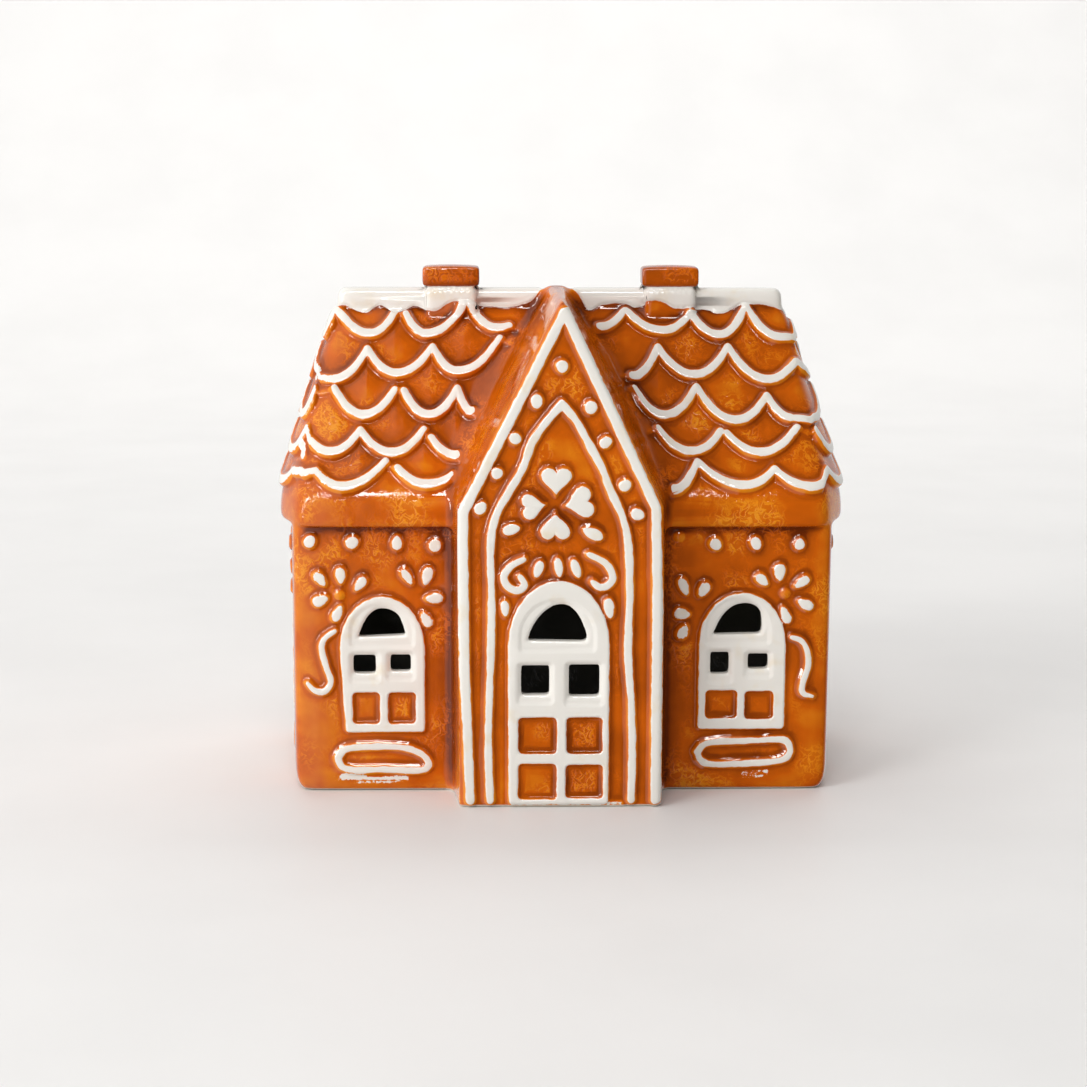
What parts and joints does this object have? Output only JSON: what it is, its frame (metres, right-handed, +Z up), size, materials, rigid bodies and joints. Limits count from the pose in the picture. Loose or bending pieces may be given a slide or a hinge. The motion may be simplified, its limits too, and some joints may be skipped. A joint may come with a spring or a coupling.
{
  "type": "glazed ceramic gingerbread house ornament",
  "caption": "Hollow glazed ceramic gingerbread house with a hipped roof of scalloped icing, a tall gabled porch, chimneys, arched windows and a door, open underneath.",
  "frame": {"origin": "on the table, under the middle of the house's box", "axes": "+X along the front to the viewer's right, +Y from the front porch to the back, +Z up"},
  "size_m": [0.1662, 0.0958, 0.1522],
  "materials": {
    "glazed_ceramic": "gloss"
  },
  "bodies": {
    "root": {"house": "glazed_ceramic"}
  },
  "joints": []
}
